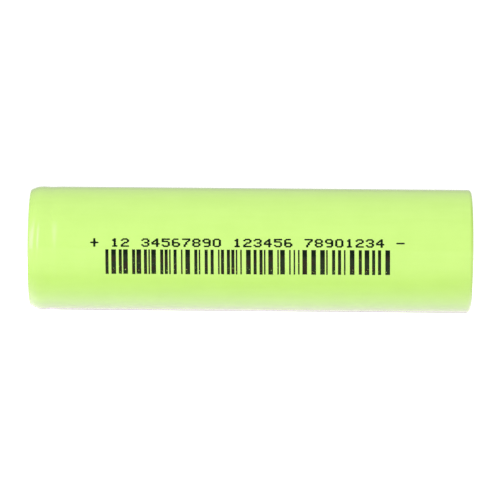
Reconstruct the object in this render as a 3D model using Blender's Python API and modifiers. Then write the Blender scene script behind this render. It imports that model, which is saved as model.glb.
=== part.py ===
"""A cylindrical lithium-ion cell of the 18 mm by 65 mm size, in its shrink sleeve.

The cell lies on its side on the surface z = 0, with its axis along X and its positive end towards -X.
Every piece is modelled upright on one axis, at its height above the negative end, and hangs from one
empty that lays the axis down. Lengths are in metres.
"""

import math

import bmesh
import bpy
from mathutils import Matrix

MM = 0.001

# Driving dimensions.
OVERALL_LENGTH = 65.2 * MM
SLEEVE_RADIUS = 9.1 * MM
SLEEVE_TOP = 65.0 * MM
SLEEVE_WALL = 0.08 * MM
CAN_RADIUS = 9.0 * MM
CAN_WALL = 0.25 * MM
CAN_FLOOR = 0.30 * MM
FIT = 0.03 * MM  # gap between stacked or nested pieces that touch on the real cell

# The can, a drawn cup whose rim is crimped over the lid.
CAN_BOTTOM = SLEEVE_WALL + FIT
CAN_INSIDE = CAN_RADIUS - CAN_WALL
CAN_CORNER = 0.9 * MM
CRIMP_TOP = 64.70 * MM
CRIMP_REACH = 7.0 * MM

# The lid stack, from the crimp down. Each height is the top face of its piece.
LID_RADIUS = 8.33 * MM
GASKET_RADIUS = CAN_INSIDE - 0.04 * MM
GASKET_TOP = CRIMP_TOP - CAN_WALL - 0.04 * MM
GASKET_FLANGE = 0.40 * MM
CAP_RIM_TOP = GASKET_TOP - GASKET_FLANGE - FIT
CAP_WALL = 0.35 * MM
CAP_PLATEAU = 4.3 * MM
CAP_SHOULDER = 5.0 * MM
PTC_TOP = CAP_RIM_TOP - CAP_WALL - FIT
PTC_THICKNESS = 0.32 * MM
PTC_HOLE = 5.6 * MM
VENT_TOP = PTC_TOP - PTC_THICKNESS - FIT
VENT_THICKNESS = 0.30 * MM
VENT_DROP = 0.68 * MM
GASKET_LOW = VENT_TOP - VENT_THICKNESS - FIT - GASKET_FLANGE

# The rolled bead, whose shelf carries the lid stack.
BEAD_SHELF = GASKET_LOW - FIT
BEAD_LOW = BEAD_SHELF - 1.7 * MM
BEAD_DEPTH = 0.9 * MM

# The current interrupter: a score line frees the middle of the vent disc, which stands on a plate.
SCORE_RADIUS = 3.7 * MM
SCORE_GAP = 0.10 * MM
PLATE_TOP = 61.85 * MM
PLATE_THICKNESS = 0.40 * MM
PLATE_RADIUS = 5.45 * MM
PLATE_HOLES = 6
PLATE_HOLE_RADIUS = 0.55 * MM
PLATE_HOLE_CIRCLE = 3.2 * MM

# The wound roll of strips and what closes it at both ends.
ROLL_INNER = 1.75 * MM
ROLL_OUTER = 8.45 * MM
ROLL_TURNS = 9
STATIONS_PER_TURN = 16
SEPARATOR = 0.035 * MM
CATHODE = 0.20 * MM
ANODE = 0.19 * MM
SEPARATOR_ENDS = (1.00 * MM, 59.65 * MM)
ANODE_ENDS = (1.65 * MM, 59.00 * MM)
CATHODE_ENDS = (2.15 * MM, 58.50 * MM)
PIN_RADIUS = 1.5 * MM
PIN_WALL = 0.2 * MM
PIN_SLIT = 0.4 * MM
INSULATOR_RADIUS = 8.45 * MM
INSULATOR_THICKNESS = 0.2 * MM
UPPER_INSULATOR = 59.72 * MM
LOWER_INSULATOR = 0.70 * MM
TAB_WIDTH = 4.0 * MM
POSITIVE_TAB_PLACE = 5.0 * MM
NEGATIVE_TAB_PLACE = 7.2 * MM
POSITIVE_TAB = 0.15 * MM
NEGATIVE_TAB = 0.12 * MM
TAPE = 0.06 * MM

# Every turned piece has the same number of flats, so that nested pieces stay clear of each other. A
# radius is measured to the flats, and one flat faces straight down for the cell to lie on.
FLATS = 32
ARC_STEPS = 3


def clear_scene():
    for old in list(bpy.data.objects):
        bpy.data.objects.remove(old)


def new_collection(name, hidden=False):
    made = bpy.data.collections.new(name)
    made.hide_render = hidden
    bpy.context.scene.collection.children.link(made)
    return made


def finish(name, colour, roughness, metallic=0.0):
    """A Principled material of one colour."""
    made = bpy.data.materials.new(name)
    made.use_nodes = True
    shader = made.node_tree.nodes["Principled BSDF"]
    shader.inputs["Base Color"].default_value = (*colour, 1.0)
    shader.inputs["Roughness"].default_value = roughness
    shader.inputs["Metallic"].default_value = metallic
    return made


def arc(centre, radius, start, end, steps=ARC_STEPS):
    """Points of a profile on a circle, from one angle to another in degrees, 0 pointing outwards."""
    points = []
    for step in range(steps + 1):
        angle = math.radians(start + (end - start) * step / steps)
        points.append((centre[0] + radius * math.cos(angle), centre[1] + radius * math.sin(angle)))
    return points


def rectangle(inner, outer, low, high):
    """The profile of a plain ring or, with inner at 0, of a disc."""
    if inner == 0:
        return [(0, high), (outer, high), (outer, low), (0, low)]
    return [(inner, high), (outer, high), (outer, low), (inner, low)]


def add_object(name, mesh, material):
    mesh.materials.append(material)
    made = bpy.data.objects.new(name, mesh)
    CELL.objects.link(made)
    made.parent = AXIS
    return made


def apply_modifiers(piece):
    """Replaces a piece's mesh with what its modifiers make of it, shaded smooth between sharp edges."""
    graph = bpy.context.evaluated_depsgraph_get()
    made = bpy.data.meshes.new_from_object(piece.evaluated_get(graph))
    shape = bmesh.new()
    shape.from_mesh(made)
    bmesh.ops.remove_doubles(shape, verts=shape.verts, dist=0.001 * MM)
    shape.to_mesh(made)
    shape.free()
    piece.modifiers.clear()
    piece.data = made
    made.shade_smooth()
    made.set_sharp_from_angle(angle=math.radians(30))
    return piece


def turned(name, profile, material):
    """A piece turned on the axis. A profile that starts and ends on the axis makes a solid disc or cup."""
    shape = bmesh.new()
    half_flat = math.tan(math.pi / FLATS)
    corners = [shape.verts.new((radius, radius * half_flat, height)) for radius, height in profile]
    for first, second in zip(corners, corners[1:]):
        shape.edges.new((first, second))
    if profile[0][0] > 0:
        shape.edges.new((corners[-1], corners[0]))
    mesh = bpy.data.meshes.new(name)
    shape.to_mesh(mesh)
    shape.free()
    piece = add_object(name, mesh, material)
    screw = piece.modifiers.new("turn", "SCREW")
    screw.axis = "Z"
    screw.steps = FLATS
    screw.render_steps = FLATS
    screw.use_merge_vertices = True
    screw.merge_threshold = 0.001 * MM
    return piece


def ribbon(name, line, width_from, width_to, upright, thickness, material):
    """A strip of sheet that follows a line: in the turning plane if upright, else bent in the XZ plane."""
    shape = bmesh.new()
    rows = []
    for first, second in line:
        if upright:
            ends = ((first, second, width_from), (first, second, width_to))
        else:
            ends = ((first, width_from, second), (first, width_to, second))
        rows.append([shape.verts.new(end) for end in ends])
    for (low, high), (next_low, next_high) in zip(rows, rows[1:]):
        shape.faces.new((low, next_low, next_high, high))
    mesh = bpy.data.meshes.new(name)
    shape.to_mesh(mesh)
    shape.free()
    piece = add_object(name, mesh, material)
    wall = piece.modifiers.new("sheet", "SOLIDIFY")
    wall.thickness = thickness
    wall.offset = 0
    return piece


def cutter(name, kind, size, place, turn=0.0):
    """A box of full sides, or an upright drill of radius and length, turned about the axis by an angle."""
    shape = bmesh.new()
    if kind == "box":
        bmesh.ops.create_cube(shape, size=1.0)
        bmesh.ops.scale(shape, vec=size, verts=shape.verts)
    else:
        radius, depth = size
        bmesh.ops.create_cone(
            shape, cap_ends=True, segments=12, radius1=radius, radius2=radius, depth=depth
        )
    moved = Matrix.Rotation(turn, 4, "Z") @ Matrix.Translation(place)
    bmesh.ops.transform(shape, matrix=moved, verts=shape.verts)
    mesh = bpy.data.meshes.new(name)
    shape.to_mesh(mesh)
    shape.free()
    made = bpy.data.objects.new(name, mesh)
    CUTTERS.objects.link(made)
    made.parent = AXIS
    made.hide_render = True
    made.display_type = "WIRE"
    return made


def cut(piece, tool):
    boolean = piece.modifiers.new("cut", "BOOLEAN")
    boolean.operation = "DIFFERENCE"
    boolean.object = tool


def make_sleeve():
    """Shrink tube over the whole can, drawn in a little over the bead and turned in over both ends."""
    lime = finish("lime_pvc", (0.60, 0.92, 0.17), 0.35)
    shoulder = (7.9 * MM, 63.80 * MM)
    foot = (8.2 * MM, 0.9 * MM)
    lip_top = 7.3 * MM
    lip_foot = 8.15 * MM
    dent = 0.12 * MM
    dent_middle = (BEAD_LOW + BEAD_SHELF) / 2 - 0.1 * MM
    dent_reach = 1.15 * MM
    inside = SLEEVE_RADIUS - SLEEVE_WALL

    def side(radius):
        top, bottom = dent_middle + dent_reach, dent_middle - dent_reach
        return [(radius, top), (radius - dent, dent_middle), (radius, bottom)]

    top_outside = arc(shoulder, SLEEVE_RADIUS - shoulder[0], 90, 0)
    top_inside = arc(shoulder, inside - shoulder[0], 0, 90)
    foot_outside = arc(foot, SLEEVE_RADIUS - foot[0], 0, -90)
    foot_inside = arc(foot, inside - foot[0], -90, 0)
    profile = [(lip_top, SLEEVE_TOP), *top_outside, *side(SLEEVE_RADIUS), *foot_outside]
    profile += [(lip_foot, 0), (lip_foot, SLEEVE_WALL), *foot_inside]
    profile += [*reversed(side(inside - 0.005 * MM)), *top_inside, (lip_top, SLEEVE_TOP - SLEEVE_WALL)]
    apply_modifiers(turned("shrink_sleeve", profile, lime))


def make_can():
    """Nickel-plated steel cup, which is the negative terminal."""
    nickel = finish("nickel_steel", (0.70, 0.69, 0.66), 0.28, 1.0)
    crimp = (CAN_RADIUS - CAN_CORNER, CRIMP_TOP - CAN_CORNER)
    corner = (CAN_RADIUS - CAN_CORNER, CAN_BOTTOM + CAN_CORNER)
    waist = CAN_RADIUS - BEAD_DEPTH
    throat = waist - CAN_WALL
    shelf_under = BEAD_SHELF - CAN_WALL
    bend = 0.2 * MM
    flank = 0.65 * MM
    eased = CAN_RADIUS - 0.15 * MM
    floor_top = CAN_BOTTOM + CAN_FLOOR
    bead_outside = [
        (CAN_RADIUS, shelf_under + 0.36 * MM),
        (eased, shelf_under),
        (waist + bend, shelf_under),
        (waist, shelf_under - bend),
        (waist, BEAD_LOW + flank),
        (eased, BEAD_LOW + 0.06 * MM),
        (CAN_RADIUS, BEAD_LOW - 0.29 * MM),
    ]
    bead_inside = [
        (CAN_INSIDE, BEAD_LOW - bend),
        (throat, BEAD_LOW + flank - bend),
        (throat, BEAD_SHELF - bend),
        (throat + bend, BEAD_SHELF),
        (CAN_INSIDE, BEAD_SHELF),
    ]
    inner_corner = arc(corner, CAN_CORNER - CAN_FLOOR, -90, 0)
    inner_corner = [(radius + CAN_FLOOR - CAN_WALL, height) for radius, height in inner_corner]
    profile = [(0, floor_top), *inner_corner, *bead_inside]
    profile += [*arc(crimp, CAN_CORNER - CAN_WALL, 0, 90), (CRIMP_REACH, CRIMP_TOP - CAN_WALL)]
    profile += [(CRIMP_REACH, CRIMP_TOP), *arc(crimp, CAN_CORNER, 90, 0), *bead_outside]
    profile += [*arc(corner, CAN_CORNER, 0, -90), (0, CAN_BOTTOM)]
    apply_modifiers(turned("can", profile, nickel))


def make_top_washer():
    """White insulating ring between the crimped rim and the sleeve's lip."""
    white = finish("white_fibre", (0.86, 0.86, 0.83), 0.75)
    low = CRIMP_TOP + FIT
    apply_modifiers(turned("top_insulator_ring", rectangle(5.9 * MM, 8.1 * MM, low, 64.87 * MM), white))


def make_gasket():
    """Polypropylene seal folded round the edge of the lid by the crimp."""
    milky = finish("milky_polypropylene", (0.78, 0.80, 0.78), 0.5)
    centre = (CAN_RADIUS - CAN_CORNER, CRIMP_TOP - CAN_CORNER)
    reach_top = 6.7 * MM
    reach_low = 6.9 * MM
    wall_inside = LID_RADIUS + FIT
    seat = GASKET_LOW + GASKET_FLANGE
    profile = [(reach_top, GASKET_TOP), *arc(centre, GASKET_RADIUS - centre[0], 90, 0)]
    profile += [(GASKET_RADIUS, GASKET_LOW), (reach_low, GASKET_LOW), (reach_low, seat)]
    profile += [(wall_inside, seat), (wall_inside, GASKET_TOP - GASKET_FLANGE)]
    profile += [(reach_top, GASKET_TOP - GASKET_FLANGE)]
    apply_modifiers(turned("crimp_gasket", profile, milky))


def make_cap():
    """Pressed steel hat, which is the positive terminal, with four gas windows in its flank."""
    plated = finish("bright_nickel", (0.76, 0.75, 0.72), 0.22, 1.0)
    top = OVERALL_LENGTH
    edge = 0.25 * MM
    rim_low = CAP_RIM_TOP - CAP_WALL
    inner_plateau = CAP_PLATEAU - 0.12 * MM
    profile = [(0, top), (CAP_PLATEAU, top), (CAP_PLATEAU + edge, top - edge)]
    profile += [(CAP_SHOULDER, CAP_RIM_TOP + edge), (CAP_SHOULDER + edge, CAP_RIM_TOP)]
    profile += [(LID_RADIUS, CAP_RIM_TOP), (LID_RADIUS, rim_low)]
    profile += [(CAP_SHOULDER - edge, rim_low), (inner_plateau, top - CAP_WALL), (0, top - CAP_WALL)]
    cap = turned("positive_cap", profile, plated)
    window = (1.6 * MM, 2.4 * MM, 0.5 * MM)
    for quarter in range(4):
        place = (CAP_SHOULDER - 0.1 * MM, 0, CAP_RIM_TOP + 0.45 * MM)
        angle = math.radians(45 + 90 * quarter)
        cut(cap, cutter(f"cap_window_tool_{quarter + 1}", "box", window, place, angle))
    apply_modifiers(cap)


def make_ptc_ring():
    """Ring that limits the current when it gets hot."""
    dark = finish("conductive_polymer", (0.07, 0.07, 0.075), 0.6)
    low = PTC_TOP - PTC_THICKNESS
    apply_modifiers(turned("ptc_ring", rectangle(PTC_HOLE, LID_RADIUS, low, PTC_TOP), dark))


def make_vent_disc():
    """Aluminium burst disc: the clamped rim and the dished ring round the score line."""
    bright = finish("vent_aluminium", (0.80, 0.81, 0.83), 0.35, 1.0)
    step_out = 6.4 * MM
    step_in = 5.9 * MM
    hole = SCORE_RADIUS + SCORE_GAP / 2
    low_top = VENT_TOP - VENT_DROP
    profile = [(hole, low_top), (step_in, low_top), (step_out, VENT_TOP), (LID_RADIUS, VENT_TOP)]
    profile += [(LID_RADIUS, VENT_TOP - VENT_THICKNESS), (step_out, VENT_TOP - VENT_THICKNESS)]
    profile += [(step_in, low_top - VENT_THICKNESS), (hole, low_top - VENT_THICKNESS)]
    apply_modifiers(turned("vent_disc", profile, bright))


def make_vent_diaphragm():
    """The middle of the burst disc, whose dimple stands on the interrupter plate until gas lifts it."""
    bright = finish("diaphragm_aluminium", (0.82, 0.83, 0.85), 0.3, 1.0)
    edge = SCORE_RADIUS - SCORE_GAP / 2
    edge_top = VENT_TOP - VENT_DROP
    thin = 0.2 * MM
    dimple_low = PLATE_TOP + FIT
    dimple_top = dimple_low + thin
    ramp_foot = 1.0 * MM
    ramp_head = 1.7 * MM
    lean = 0.12 * MM
    ramp_top = edge_top - 0.1 * MM
    profile = [(0, dimple_top), (ramp_foot, dimple_top), (ramp_head, ramp_top), (edge, edge_top)]
    profile += [(edge, edge_top - thin), (ramp_head + lean, ramp_top - thin)]
    profile += [(ramp_foot + lean, dimple_low), (0, dimple_low)]
    apply_modifiers(turned("vent_diaphragm", profile, bright))


def make_interrupter():
    """The perforated plate under the vent disc, and the plastic ring that keeps the two apart."""
    bright = finish("plate_aluminium", (0.78, 0.79, 0.80), 0.4, 1.0)
    white = finish("interrupter_plastic", (0.82, 0.82, 0.80), 0.5)
    plate_low = PLATE_TOP - PLATE_THICKNESS
    plate = turned("interrupter_plate", rectangle(0, PLATE_RADIUS, plate_low, PLATE_TOP), bright)
    for number in range(PLATE_HOLES):
        drill = (PLATE_HOLE_RADIUS, 4 * PLATE_THICKNESS)
        place = (PLATE_HOLE_CIRCLE, 0, PLATE_TOP - PLATE_THICKNESS / 2)
        angle = math.tau * (number + 0.5) / PLATE_HOLES
        cut(plate, cutter(f"plate_drill_{number + 1}", "drill", drill, place, angle))
    apply_modifiers(plate)

    skirt = PLATE_RADIUS + FIT
    outside = skirt + 0.3 * MM
    top = VENT_TOP - VENT_DROP - VENT_THICKNESS - FIT
    profile = [(4.3 * MM, top), (outside, top), (outside, plate_low), (skirt, plate_low)]
    profile += [(skirt, PLATE_TOP + FIT), (4.3 * MM, PLATE_TOP + FIT)]
    apply_modifiers(turned("interrupter_ring", profile, white))


def make_insulators():
    """Punched discs at both ends of the roll, with a slot that the tab comes through."""
    clear_blue = finish("insulator_film", (0.66, 0.74, 0.78), 0.45)
    slot = (0.7 * MM, TAB_WIDTH + 0.6 * MM, 4 * INSULATOR_THICKNESS)
    layout = (
        ("upper_insulator", UPPER_INSULATOR, 1.3 * MM, POSITIVE_TAB_PLACE),
        ("lower_insulator", LOWER_INSULATOR, 1.2 * MM, NEGATIVE_TAB_PLACE),
    )
    for name, low, hole, tab_place in layout:
        outline = rectangle(hole, INSULATOR_RADIUS, low, low + INSULATOR_THICKNESS)
        disc = turned(name, outline, clear_blue)
        middle = low + INSULATOR_THICKNESS / 2
        cut(disc, cutter(f"{name}_slot_tool", "box", slot, (tab_place, 0, middle)))
        if name == "upper_insulator":
            for number in range(3):
                drill = (0.9 * MM, 4 * INSULATOR_THICKNESS)
                angle = math.radians(90 * (number + 1))
                tool = cutter(f"gas_drill_{number + 1}", "drill", drill, (5 * MM, 0, middle), angle)
                cut(disc, tool)
        apply_modifiers(disc)


def make_centre_pin():
    """Slit steel tube that holds the middle of the roll open."""
    steel = finish("pin_steel", (0.55, 0.55, 0.56), 0.35, 1.0)
    middle = PIN_RADIUS - PIN_WALL / 2
    half_slit = math.asin(PIN_SLIT / 2 / middle)
    line = []
    steps = 18
    for step in range(steps + 1):
        angle = half_slit + (math.tau - 2 * half_slit) * step / steps
        line.append((middle * math.cos(angle), middle * math.sin(angle)))
    low = LOWER_INSULATOR + INSULATOR_THICKNESS + FIT
    high = UPPER_INSULATOR - FIT
    apply_modifiers(ribbon("centre_pin", line, low, high, True, PIN_WALL, steel))


def spiral(start_radius, pitch, first_turn, last_turn):
    """Points of a strip's middle line. All strips share their angles, so the facets never cross."""
    line = []
    for station in range(round(first_turn * STATIONS_PER_TURN), round(last_turn * STATIONS_PER_TURN) + 1):
        turns = station / STATIONS_PER_TURN
        radius = start_radius + pitch * turns
        line.append((radius * math.cos(math.tau * turns), radius * math.sin(math.tau * turns)))
    return line


def make_roll():
    """Separator, cathode, separator and anode, wound together as one spiral."""
    white = finish("separator_film", (0.88, 0.88, 0.86), 0.55)
    oxide = finish("cathode_coating", (0.045, 0.045, 0.05), 0.75)
    graphite = finish("anode_coating", (0.09, 0.09, 0.095), 0.65)
    pitch = (ROLL_OUTER - ROLL_INNER) / (ROLL_TURNS + 1)
    gap = (pitch - 2 * SEPARATOR - CATHODE - ANODE) / 4
    layers = (
        ("separator_inner", SEPARATOR, SEPARATOR_ENDS, 0.0, white),
        ("cathode_strip", CATHODE, CATHODE_ENDS, 0.5, oxide),
        ("separator_outer", SEPARATOR, SEPARATOR_ENDS, 0.0, white),
        ("anode_strip", ANODE, ANODE_ENDS, 0.25, graphite),
    )
    inner = ROLL_INNER
    for name, thickness, (low, high), held_back, material in layers:
        line = spiral(inner + thickness / 2, pitch, held_back, ROLL_TURNS - held_back)
        apply_modifiers(ribbon(name, line, low, high, True, thickness, material))
        inner += thickness + gap


def make_roll_tape():
    """Tape round the finished roll that keeps it closed."""
    green = finish("green_tape", (0.10, 0.42, 0.30), 0.4)
    inner = 8.52 * MM
    apply_modifiers(turned("roll_closing_tape", rectangle(inner, inner + TAPE, 8 * MM, 52 * MM), green))


def bent_strip(upright_place, start, turn_height, tip, radius):
    """An L from a start height, up or down at one place, round a bend and along to the tip."""
    way = 1 if turn_height > start else -1
    line = [(upright_place, start)]
    for step in range(ARC_STEPS + 1):
        angle = math.radians(90 * step / ARC_STEPS)
        across = upright_place - radius + radius * math.cos(angle)
        line.append((across, turn_height - way * radius * (1 - math.sin(angle))))
    line.append((tip, turn_height))
    return line


def make_tabs():
    """The two current tabs, each an L, and the tape on each."""
    aluminium = finish("tab_aluminium", (0.80, 0.80, 0.81), 0.35, 1.0)
    nickel = finish("tab_nickel", (0.66, 0.64, 0.60), 0.3, 1.0)
    amber = finish("polyimide_tape", (0.72, 0.33, 0.04), 0.25)
    half = TAB_WIDTH / 2
    under_plate = PLATE_TOP - PLATE_THICKNESS - FIT - POSITIVE_TAB / 2
    on_floor = CAN_BOTTOM + CAN_FLOOR + FIT + NEGATIVE_TAB / 2
    roll_low, roll_high = SEPARATOR_ENDS

    line = bent_strip(POSITIVE_TAB_PLACE, roll_high + FIT, under_plate, -1.2 * MM, 0.3 * MM)
    apply_modifiers(ribbon("positive_tab", line, -half, half, False, POSITIVE_TAB, aluminium))

    line = bent_strip(NEGATIVE_TAB_PLACE, roll_low - FIT, on_floor, -2 * MM, 0.15 * MM)
    apply_modifiers(ribbon("negative_tab", line, -half, half, False, NEGATIVE_TAB, nickel))

    band_low = UPPER_INSULATOR + INSULATOR_THICKNESS + 0.1 * MM
    band_high = band_low + 0.8 * MM
    reach = POSITIVE_TAB / 2 + FIT + TAPE / 2
    corners = [(reach, half + 0.1 * MM), (-reach, half + 0.1 * MM)]
    corners += [(-reach, -half - 0.1 * MM), (reach, -half - 0.1 * MM)]
    wrap = [(POSITIVE_TAB_PLACE + across, along) for across, along in corners]
    apply_modifiers(ribbon("positive_tab_tape", wrap, band_low, band_high, True, TAPE, amber))

    patch_height = on_floor + NEGATIVE_TAB / 2 + FIT + TAPE / 2
    patch = [(6.2 * MM, patch_height), (1.6 * MM, patch_height)]
    width = half + 0.5 * MM
    apply_modifiers(ribbon("negative_tab_tape", patch, -width, width, False, TAPE, amber))


clear_scene()
CELL = new_collection("cylindrical_cell")
CUTTERS = new_collection("cutters", hidden=True)
AXIS = bpy.data.objects.new("cell_axis", None)
CELL.objects.link(AXIS)
AXIS.location = (OVERALL_LENGTH / 2, 0, SLEEVE_RADIUS)
AXIS.rotation_euler = (0, math.radians(-90), 0)
bpy.context.view_layer.update()

make_sleeve()
make_can()
make_top_washer()
make_gasket()
make_cap()
make_ptc_ring()
make_vent_disc()
make_vent_diaphragm()
make_interrupter()
make_insulators()
make_centre_pin()
make_roll()
make_roll_tape()
make_tabs()
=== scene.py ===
# %% [markdown]
# # A cylindrical lithium-ion cell
#
# The cell lies on its side, 65 mm long and 18 mm across. What the eye meets is a lime green film,
# shrunk over a steel can, and a line of black ink on it. A ring, a cap and the bare bottom of the
# can show at the ends, and a wound roll and a stack of small discs fill the inside.
#
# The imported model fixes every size. This script makes the pieces that the eye meets again, at the
# fineness that it needs and on the same axis, and gives every piece its finish.

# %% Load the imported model
import math

import bmesh
import bpy
from mathutils import Matrix, Vector


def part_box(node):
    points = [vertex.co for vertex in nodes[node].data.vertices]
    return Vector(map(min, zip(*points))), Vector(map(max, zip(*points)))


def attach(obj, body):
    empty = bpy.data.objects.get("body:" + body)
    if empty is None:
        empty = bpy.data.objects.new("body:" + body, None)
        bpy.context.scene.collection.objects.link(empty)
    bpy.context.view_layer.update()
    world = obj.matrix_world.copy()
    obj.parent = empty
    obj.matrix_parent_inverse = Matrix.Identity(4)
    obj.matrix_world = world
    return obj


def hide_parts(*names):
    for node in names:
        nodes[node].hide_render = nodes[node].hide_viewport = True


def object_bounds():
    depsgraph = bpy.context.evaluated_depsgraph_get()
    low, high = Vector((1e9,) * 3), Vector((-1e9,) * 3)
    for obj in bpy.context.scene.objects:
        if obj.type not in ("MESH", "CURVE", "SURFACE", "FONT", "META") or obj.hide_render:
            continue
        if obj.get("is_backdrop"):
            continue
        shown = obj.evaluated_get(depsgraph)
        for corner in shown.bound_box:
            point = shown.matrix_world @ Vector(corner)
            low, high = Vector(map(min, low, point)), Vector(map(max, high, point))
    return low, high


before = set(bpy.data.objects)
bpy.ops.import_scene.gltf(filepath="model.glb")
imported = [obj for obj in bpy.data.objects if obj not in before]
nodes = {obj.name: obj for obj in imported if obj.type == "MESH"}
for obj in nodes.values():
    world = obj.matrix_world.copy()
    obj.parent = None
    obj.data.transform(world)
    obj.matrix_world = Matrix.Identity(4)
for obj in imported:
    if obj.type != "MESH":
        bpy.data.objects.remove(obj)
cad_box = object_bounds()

MM = 0.001

# %% [markdown]
# ## Where the axis lies
#
# Every turned piece of a cell shares one axis, so the script speaks of a place as a maker does: a
# height above the negative end and a radius. The axis and the two ends could be typed in as
# numbers, but the sleeve's box gives them, and then they can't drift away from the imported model.

# %% Measure the axis and the two ends
sleeve_low, sleeve_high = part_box("shrink_sleeve")
SLEEVE_RADIUS = (sleeve_high.z - sleeve_low.z) / 2
AXIS_HEIGHT = (sleeve_high.z + sleeve_low.z) / 2
FOOT = sleeve_high.x
SLEEVE_TOP = FOOT - sleeve_low.x


def reach(node):
    """The lowest and highest height and the outer radius of a turned node."""
    low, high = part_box(node)
    return FOOT - high.x, FOOT - low.x, high.z - AXIS_HEIGHT


print(f"sleeve {SLEEVE_TOP / MM:.2f} mm long, {2 * SLEEVE_RADIUS / MM:.2f} mm across")

# %% [markdown]
# ## Helpers for node trees
#
# A material or a Geometry Nodes tree is sums on sockets. Written with one node per line they are
# hard to read, so a small class wraps an output socket, and Python's own signs add the Math nodes.


# %% A socket that takes part in sums
class Socket:
    """An output of a node. Sums of sockets and numbers add Math nodes to the tree."""

    def __init__(self, net, output):
        self.net = net
        self.output = output

    def part(self, name):
        """Another output of the same node."""
        return Socket(self.net, self.output.node.outputs[name])

    def __add__(self, other):
        return self.net.maths("ADD", self, other)

    def __radd__(self, other):
        return self.net.maths("ADD", other, self)

    def __sub__(self, other):
        return self.net.maths("SUBTRACT", self, other)

    def __rsub__(self, other):
        return self.net.maths("SUBTRACT", other, self)

    def __mul__(self, other):
        return self.net.maths("MULTIPLY", self, other)

    def __rmul__(self, other):
        return self.net.maths("MULTIPLY", other, self)

    def __truediv__(self, other):
        return self.net.maths("DIVIDE", self, other)

    def __rtruediv__(self, other):
        return self.net.maths("DIVIDE", other, self)


print("sockets take part in sums")


# %% A tree under construction
class Net:
    """A node tree under construction."""

    def __init__(self, tree):
        self.tree = tree
        tree.nodes.clear()

    def node(self, kind, settings=None, sockets=None, output=0):
        """Adds a node: its settings first, then the values or links of its sockets."""
        made = self.tree.nodes.new(kind)
        for name, value in (settings or {}).items():
            if name == "stops":
                for stop, (place, colour) in zip(made.color_ramp.elements, value):
                    stop.position = place
                    stop.color = colour
            else:
                setattr(made, name, value)
        for key, value in (sockets or {}).items():
            if isinstance(value, Socket):
                self.tree.links.new(value.output, made.inputs[key])
            else:
                made.inputs[key].default_value = value
        return Socket(self, made.outputs[output]) if made.outputs else None

    def maths(self, operation, *values):
        return self.node("ShaderNodeMath", {"operation": operation}, dict(enumerate(values)))

    def vector(self, x, y, z):
        return self.node("ShaderNodeCombineXYZ", sockets={0: x, 1: y, 2: z})

    def split(self, vector):
        """The three parts of a vector."""
        parts = self.node("ShaderNodeSeparateXYZ", sockets={0: vector})
        return parts, parts.part("Y"), parts.part("Z")

    def smooth(self, value, start, end):
        """0 before the start, 1 after the end, and a smooth step between them."""
        limits = {"Value": value, "From Min": start, "From Max": end}
        return self.node("ShaderNodeMapRange", {"interpolation_type": "SMOOTHSTEP"}, limits)

    def mix(self, factor, first, second):
        """A blend of two colours."""
        return self.node("ShaderNodeMix", {"data_type": "RGBA"}, {0: factor, 6: first, 7: second}, 2)

    def noise(self, vector, scale, detail=2.0, roughness=0.5):
        values = {"Vector": vector, "Scale": scale, "Detail": detail, "Roughness": roughness}
        return self.node("ShaderNodeTexNoise", sockets=values)


print("node helpers ready")

# %% [markdown]
# ## A finish and its base
#
# Each finish is a Principled shader. Its even values are set once, and what varies over the surface
# comes from noise on the object's own coordinates. A painted image could carry that too, but noise
# needs no file and stays sharp from close by. The coordinates are metres, so a noise scale of 1000
# makes specks of about a millimetre. Metal and paper differ in what the noise stands for: rolling
# marks, drawing marks, fibres or dust.


# %% Start a finish
def rgb(red, green, blue):
    return (red, green, blue, 1.0)


def finish(name, **even):
    """A new material. Returns it, its net, and the coordinates, and keeps the shader for later."""
    made = bpy.data.materials.new(name)
    made.use_nodes = True
    net = Net(made.node_tree)
    shader = net.node("ShaderNodeBsdfPrincipled")
    net.node("ShaderNodeOutputMaterial", sockets={"Surface": shader})
    net.shader = shader.output.node
    for socket, value in even.items():
        net.shader.inputs[socket.replace("_", " ")].default_value = value
    place = net.node("ShaderNodeTexCoord").part("Object")
    return made, net, place


def feed(net, socket, value):
    net.tree.links.new(value.output, net.shader.inputs[socket])


def bump(net, height, strength, distance):
    """Lets a height in the range 0 to 1 tilt the surface, as if it were that many metres deep."""
    settings = {"Strength": strength, "Distance": distance, "Height": height}
    feed(net, "Normal", net.node("ShaderNodeBump", sockets=settings))


def stretched(net, place, x, y, z):
    """Coordinates pulled out, so that noise on them makes streaks along the smallest of the three."""
    scale = {"Vector": place, "Scale": (x, y, z)}
    return net.node("ShaderNodeMapping", sockets=scale)


print("finishes start on a Principled shader")

# %% [markdown]
# ## Lime shrink film
#
# The sleeve is PVC tube, blown and printed flat, then shrunk with hot air. Its colour is almost
# even. Up close it has a faint cloudiness, streaks along the tube from the die that it came out of,
# and a soft orange-peel from the shrinking. One rough layer could carry all of that, but then the
# gloss would be dull as well, so the gloss is a coat over it, thin and even.

# %% Lime shrink film
LIME = rgb(0.579, 0.903, 0.143)
LIME_DEEP = rgb(0.559, 0.883, 0.131)


def lime_film():
    coat = {"Coat_Weight": 1.0, "Coat_Roughness": 0.09, "Coat_IOR": 1.75}
    made, net, place = finish("lime_film", IOR=1.53, **coat)
    cloud = net.noise(place, 260, 3)
    streak = net.noise(stretched(net, place, 60, 900, 900), 1.0, 2)
    shade = net.smooth(cloud * 0.6 + streak * 0.4, 0.35, 0.65)
    feed(net, "Base Color", net.mix(shade, LIME_DEEP, LIME))
    feed(net, "Roughness", 0.15 + 0.08 * net.noise(place, 900, 3))
    peel = net.noise(place, 700, 1)
    bump(net, peel * 0.7 + streak * 0.3, 0.2, 0.006 * MM)
    return made


lime = lime_film()
print("made", lime.name)

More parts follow.
